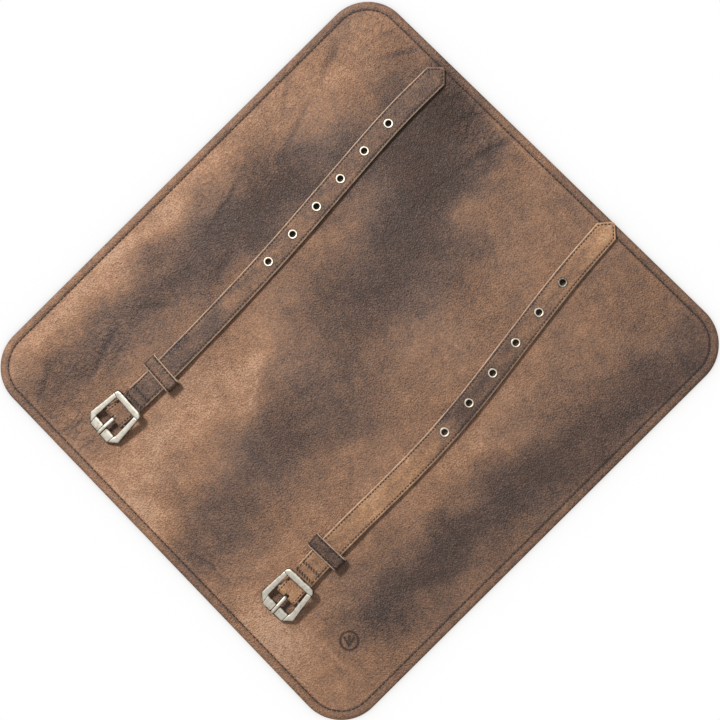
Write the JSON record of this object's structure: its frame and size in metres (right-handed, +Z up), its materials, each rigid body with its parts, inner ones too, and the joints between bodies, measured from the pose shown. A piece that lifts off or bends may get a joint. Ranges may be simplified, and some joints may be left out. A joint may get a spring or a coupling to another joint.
{
  "type": "brush roll case",
  "caption": "Flat leather brush roll, outer face up, with a pocketed lining, two buckled straps with eyelets and keepers, and creases that roll it up.",
  "frame": {"origin": "under the middle of the unrolled panel, on the surface that the case lies on", "axes": "+X along the straps towards their points and along the roll-up direction; +Y across the straps, along the brushes; +Z up from the outer leather face"},
  "size_m": [0.429, 0.403, 0.0131],
  "materials": {
    "outer_leather": "waxed pull-up, fine grain",
    "pocket_lining": "suede side, matte",
    "strap": "waxed, raw pale edges, dark stitching",
    "keeper": "waxed, dark, stitched edges",
    "buckle": "antique nickel plate, brushed",
    "eyelet": "antique nickel plate"
  },
  "bodies": {
    "panel_section_01": {"outer_leather_01": "outer_leather", "pocket_lining_01": "pocket_lining"},
    "panel_section_02": {"outer_leather_02": "outer_leather", "pocket_lining_02": "pocket_lining"},
    "panel_middle": {"outer_leather_03": "outer_leather", "pocket_lining_03": "pocket_lining", "strap_1_base": "strap", "strap_2_base": "strap"},
    "panel_section_04": {"outer_leather_04": "outer_leather", "pocket_lining_04": "pocket_lining"},
    "panel_section_05": {"outer_leather_05": "outer_leather", "pocket_lining_05": "pocket_lining"},
    "panel_section_06": {"outer_leather_06": "outer_leather", "pocket_lining_06": "pocket_lining"},
    "panel_section_07": {"outer_leather_07": "outer_leather", "pocket_lining_07": "pocket_lining"},
    "panel_section_08": {"outer_leather_08": "outer_leather", "pocket_lining_08": "pocket_lining"},
    "panel_section_09": {"outer_leather_09": "outer_leather", "pocket_lining_09": "pocket_lining"},
    "panel_section_10": {"outer_leather_10": "outer_leather", "pocket_lining_10": "pocket_lining"},
    "panel_section_11": {"outer_leather_11": "outer_leather", "pocket_lining_11": "pocket_lining"},
    "panel_section_12": {"outer_leather_12": "outer_leather", "pocket_lining_12": "pocket_lining"},
    "strap_1_part_1": {"strap_1_section_1": "strap"},
    "strap_1_part_2": {"strap_1_section_2": "strap"},
    "strap_1_part_3": {"strap_1_section_3": "strap"},
    "strap_1_part_4": {"strap_1_section_4": "strap", "strap_1_eyelet_1": "eyelet", "strap_1_eyelet_2": "eyelet"},
    "strap_1_part_5": {"strap_1_section_5": "strap", "strap_1_eyelet_3": "eyelet", "strap_1_eyelet_4": "eyelet"},
    "strap_1_part_6": {"strap_1_section_6": "strap", "strap_1_eyelet_5": "eyelet", "strap_1_eyelet_6": "eyelet"},
    "strap_1_part_7": {"strap_1_section_7": "strap"},
    "keeper_1_loop": {"keeper_1": "keeper"},
    "buckle_1": {"buckle_1_frame": "buckle"},
    "prong_1": {"buckle_1_prong": "buckle"},
    "strap_2_part_1": {"strap_2_section_1": "strap"},
    "strap_2_part_2": {"strap_2_section_2": "strap"},
    "strap_2_part_3": {"strap_2_section_3": "strap"},
    "strap_2_part_4": {"strap_2_section_4": "strap", "strap_2_eyelet_1": "eyelet", "strap_2_eyelet_2": "eyelet"},
    "strap_2_part_5": {"strap_2_section_5": "strap", "strap_2_eyelet_3": "eyelet", "strap_2_eyelet_4": "eyelet"},
    "strap_2_part_6": {"strap_2_section_6": "strap", "strap_2_eyelet_5": "eyelet", "strap_2_eyelet_6": "eyelet"},
    "strap_2_part_7": {"strap_2_section_7": "strap"},
    "keeper_2_loop": {"keeper_2": "keeper"},
    "buckle_2": {"buckle_2_frame": "buckle"},
    "prong_2": {"buckle_2_prong": "buckle"}
  },
  "joints": [
    {"name": "roll_up", "type": "hinge", "parent": "panel_middle", "child": "panel_section_04", "pos_m": [-0.12, 0, 0], "axis": [0, 1, 0], "range_deg": [0, 40]},
    {"name": "roll_crease_2", "type": "hinge", "parent": "panel_section_04", "child": "panel_section_05", "pos_m": [-0.0825, 0, 0], "axis": [0, 1, 0], "range_deg": [0, 43.25]},
    {"name": "roll_crease_3", "type": "hinge", "parent": "panel_section_05", "child": "panel_section_06", "pos_m": [-0.045, 0, 0], "axis": [0, 1, 0], "range_deg": [0, 46.5]},
    {"name": "roll_crease_4", "type": "hinge", "parent": "panel_section_06", "child": "panel_section_07", "pos_m": [-0.0075, 0, 0], "axis": [0, 1, 0], "range_deg": [0, 49.75]},
    {"name": "roll_crease_5", "type": "hinge", "parent": "panel_section_07", "child": "panel_section_08", "pos_m": [0.03, 0, 0], "axis": [0, 1, 0], "range_deg": [0, 53]},
    {"name": "roll_crease_6", "type": "hinge", "parent": "panel_section_08", "child": "panel_section_09", "pos_m": [0.0675, 0, 0], "axis": [0, 1, 0], "range_deg": [0, 56.25]},
    {"name": "roll_crease_7", "type": "hinge", "parent": "panel_section_09", "child": "panel_section_10", "pos_m": [0.105, 0, 0], "axis": [0, 1, 0], "range_deg": [0, 59.5]},
    {"name": "roll_crease_8", "type": "hinge", "parent": "panel_section_10", "child": "panel_section_11", "pos_m": [0.1425, 0, 0], "axis": [0, 1, 0], "range_deg": [0, 62.75]},
    {"name": "roll_crease_9", "type": "hinge", "parent": "panel_section_11", "child": "panel_section_12", "pos_m": [0.18, 0, 0], "axis": [0, 1, 0], "range_deg": [0, 66]},
    {"name": "edge_crease_1", "type": "hinge", "parent": "panel_middle", "child": "panel_section_02", "pos_m": [-0.156, 0, 0], "axis": [0, -1, 0], "range_deg": [0, 32]},
    {"name": "edge_crease_2", "type": "hinge", "parent": "panel_section_02", "child": "panel_section_01", "pos_m": [-0.187, 0, 0], "axis": [0, -1, 0], "range_deg": [0, 36]},
    {"name": "strap_1_lift", "type": "hinge", "parent": "panel_middle", "child": "strap_1_part_1", "pos_m": [-0.1358, 0.09572, 0.0072], "axis": [-0.0294, -0.9996, 0], "range_deg": [0, 100]},
    {"name": "strap_1_crease_1", "type": "hinge", "parent": "strap_1_part_1", "child": "strap_1_part_2", "pos_m": [-0.0948, 0.09581, 0.0052], "axis": [-0.016, 0.9999, 0], "range_deg": [0, 32]},
    {"name": "strap_1_crease_2", "type": "hinge", "parent": "strap_1_part_2", "child": "strap_1_part_3", "pos_m": [-0.05248, 0.0967, 0.0052], "axis": [-0.0271, 0.9996, 0], "range_deg": [0, 38]},
    {"name": "strap_1_crease_3", "type": "hinge", "parent": "strap_1_part_3", "child": "strap_1_part_4", "pos_m": [-0.01015, 0.0982, 0.0052], "axis": [-0.0451, 0.999, 0], "range_deg": [0, 42]},
    {"name": "strap_1_crease_4", "type": "hinge", "parent": "strap_1_part_4", "child": "strap_1_part_5", "pos_m": [0.04685, 0.10177, 0.0052], "axis": [-0.0779, 0.997, 0], "range_deg": [0, 48]},
    {"name": "strap_1_crease_5", "type": "hinge", "parent": "strap_1_part_5", "child": "strap_1_part_6", "pos_m": [0.10385, 0.10644, 0.0052], "axis": [-0.079, 0.9969, 0], "range_deg": [0, 47]},
    {"name": "strap_1_crease_6", "type": "hinge", "parent": "strap_1_part_6", "child": "strap_1_part_7", "pos_m": [0.16085, 0.10994, 0.0052], "axis": [-0.023, 0.9997, 0], "range_deg": [0, 38]},
    {"name": "keeper_1_slide", "type": "slide", "parent": "strap_1_part_1", "child": "keeper_1_loop", "axis": [0.9999, 0.013, 0], "range_m": [-0.009, 0.0145]},
    {"name": "buckle_1_tilt", "type": "hinge", "parent": "panel_middle", "child": "buckle_1", "pos_m": [-0.1648, 0.0967, 0.0075], "axis": [0.0523, 0.9986, 0], "range_deg": [0, 10.5]},
    {"name": "prong_1_swing", "type": "hinge", "parent": "buckle_1", "child": "prong_1", "pos_m": [-0.1648, 0.0967, 0.0075], "axis": [0.0523, 0.9986, 0], "range_deg": [0, 52]},
    {"name": "strap_2_lift", "type": "hinge", "parent": "panel_middle", "child": "strap_2_part_1", "pos_m": [-0.1356, -0.0935, 0.0072], "axis": [0.046, -0.9989, 0], "range_deg": [0, 100]},
    {"name": "strap_2_crease_1", "type": "hinge", "parent": "strap_2_part_1", "child": "strap_2_part_2", "pos_m": [-0.0946, -0.0928, 0.0052], "axis": [0.0023, 1, 0], "range_deg": [0, 32]},
    {"name": "strap_2_crease_2", "type": "hinge", "parent": "strap_2_part_2", "child": "strap_2_part_3", "pos_m": [-0.05072, -0.09307, 0.0052], "axis": [0.0023, 1, 0], "range_deg": [0, 38]},
    {"name": "strap_2_crease_3", "type": "hinge", "parent": "strap_2_part_3", "child": "strap_2_part_4", "pos_m": [-0.00685, -0.09232, 0.0052], "axis": [-0.044, 0.999, 0], "range_deg": [0, 42]},
    {"name": "strap_2_crease_4", "type": "hinge", "parent": "strap_2_part_4", "child": "strap_2_part_5", "pos_m": [0.05135, -0.08721, 0.0052], "axis": [-0.1203, 0.9927, 0], "range_deg": [0, 48]},
    {"name": "strap_2_crease_5", "type": "hinge", "parent": "strap_2_part_5", "child": "strap_2_part_6", "pos_m": [0.10955, -0.0794, 0.0052], "axis": [-0.136, 0.9907, 0], "range_deg": [0, 47]},
    {"name": "strap_2_crease_6", "type": "hinge", "parent": "strap_2_part_6", "child": "strap_2_part_7", "pos_m": [0.16775, -0.07244, 0.0052], "axis": [-0.0889, 0.996, 0], "range_deg": [0, 38]},
    {"name": "keeper_2_slide", "type": "slide", "parent": "strap_2_part_1", "child": "keeper_2_loop", "axis": [0.9998, 0.0203, 0], "range_m": [-0.0045, 0.0195]},
    {"name": "buckle_2_tilt", "type": "hinge", "parent": "panel_middle", "child": "buckle_2", "pos_m": [-0.1646, -0.095, 0.0075], "axis": [-0.0523, 0.9986, 0], "range_deg": [0, 10.5]},
    {"name": "prong_2_swing", "type": "hinge", "parent": "buckle_2", "child": "prong_2", "pos_m": [-0.1646, -0.095, 0.0075], "axis": [-0.0523, 0.9986, 0], "range_deg": [0, 52]}
  ],
  "couplings": [
    {"joint": "roll_crease_2", "follows": "roll_up", "ratio": 1.0813},
    {"joint": "roll_crease_3", "follows": "roll_up", "ratio": 1.1625},
    {"joint": "roll_crease_4", "follows": "roll_up", "ratio": 1.2437},
    {"joint": "roll_crease_5", "follows": "roll_up", "ratio": 1.325},
    {"joint": "roll_crease_6", "follows": "roll_up", "ratio": 1.4062},
    {"joint": "roll_crease_7", "follows": "roll_up", "ratio": 1.4875},
    {"joint": "roll_crease_8", "follows": "roll_up", "ratio": 1.5688},
    {"joint": "roll_crease_9", "follows": "roll_up", "ratio": 1.65},
    {"joint": "edge_crease_1", "follows": "roll_up", "ratio": 0.8},
    {"joint": "edge_crease_2", "follows": "roll_up", "ratio": 0.9},
    {"joint": "strap_1_crease_1", "follows": "roll_up", "ratio": 0.8},
    {"joint": "strap_1_crease_2", "follows": "roll_up", "ratio": 0.95},
    {"joint": "strap_1_crease_3", "follows": "roll_up", "ratio": 1.05},
    {"joint": "strap_1_crease_4", "follows": "roll_up", "ratio": 1.2},
    {"joint": "strap_1_crease_5", "follows": "roll_up", "ratio": 1.175},
    {"joint": "strap_1_crease_6", "follows": "roll_up", "ratio": 0.95},
    {"joint": "strap_2_crease_1", "follows": "roll_up", "ratio": 0.8},
    {"joint": "strap_2_crease_2", "follows": "roll_up", "ratio": 0.95},
    {"joint": "strap_2_crease_3", "follows": "roll_up", "ratio": 1.05},
    {"joint": "strap_2_crease_4", "follows": "roll_up", "ratio": 1.2},
    {"joint": "strap_2_crease_5", "follows": "roll_up", "ratio": 1.175},
    {"joint": "strap_2_crease_6", "follows": "roll_up", "ratio": 0.95}
  ]
}
